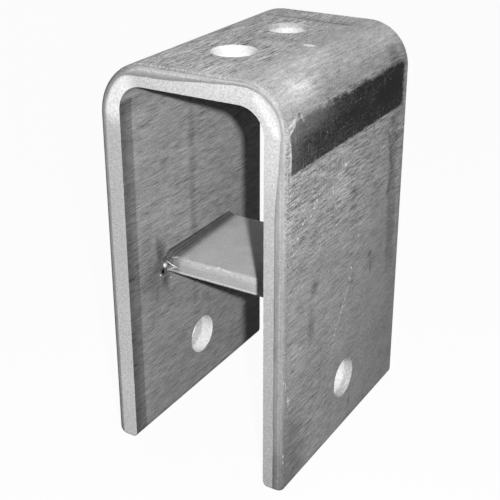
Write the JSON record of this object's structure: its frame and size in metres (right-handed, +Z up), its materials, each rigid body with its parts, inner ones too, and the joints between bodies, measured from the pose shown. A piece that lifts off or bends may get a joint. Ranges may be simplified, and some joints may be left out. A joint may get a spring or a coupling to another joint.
{
  "type": "spring hanger",
  "caption": "U-shaped steel hanger that takes the end of a leaf spring between its legs, under a welded cross plate, and bolts to a frame through its top.",
  "frame": {"origin": "on the ground, under the middle of the channel, at the leg ends", "axes": "+Z up from the leg ends to the top, +X across from one leg to the other along the axis of the leg holes, +Y through the depth with the front at -Y"},
  "size_m": [0.07, 0.09, 0.145],
  "materials": {
    "bare_steel": "bare hot-rolled steel, ground along the depth",
    "plate_steel": "bare flat plate, satin",
    "weld_bead": "dark rippled weld metal"
  },
  "bodies": {
    "root": {"channel": "bare_steel", "cross_plate": "plate_steel", "weld_left": "weld_bead", "weld_right": "weld_bead"}
  },
  "joints": []
}
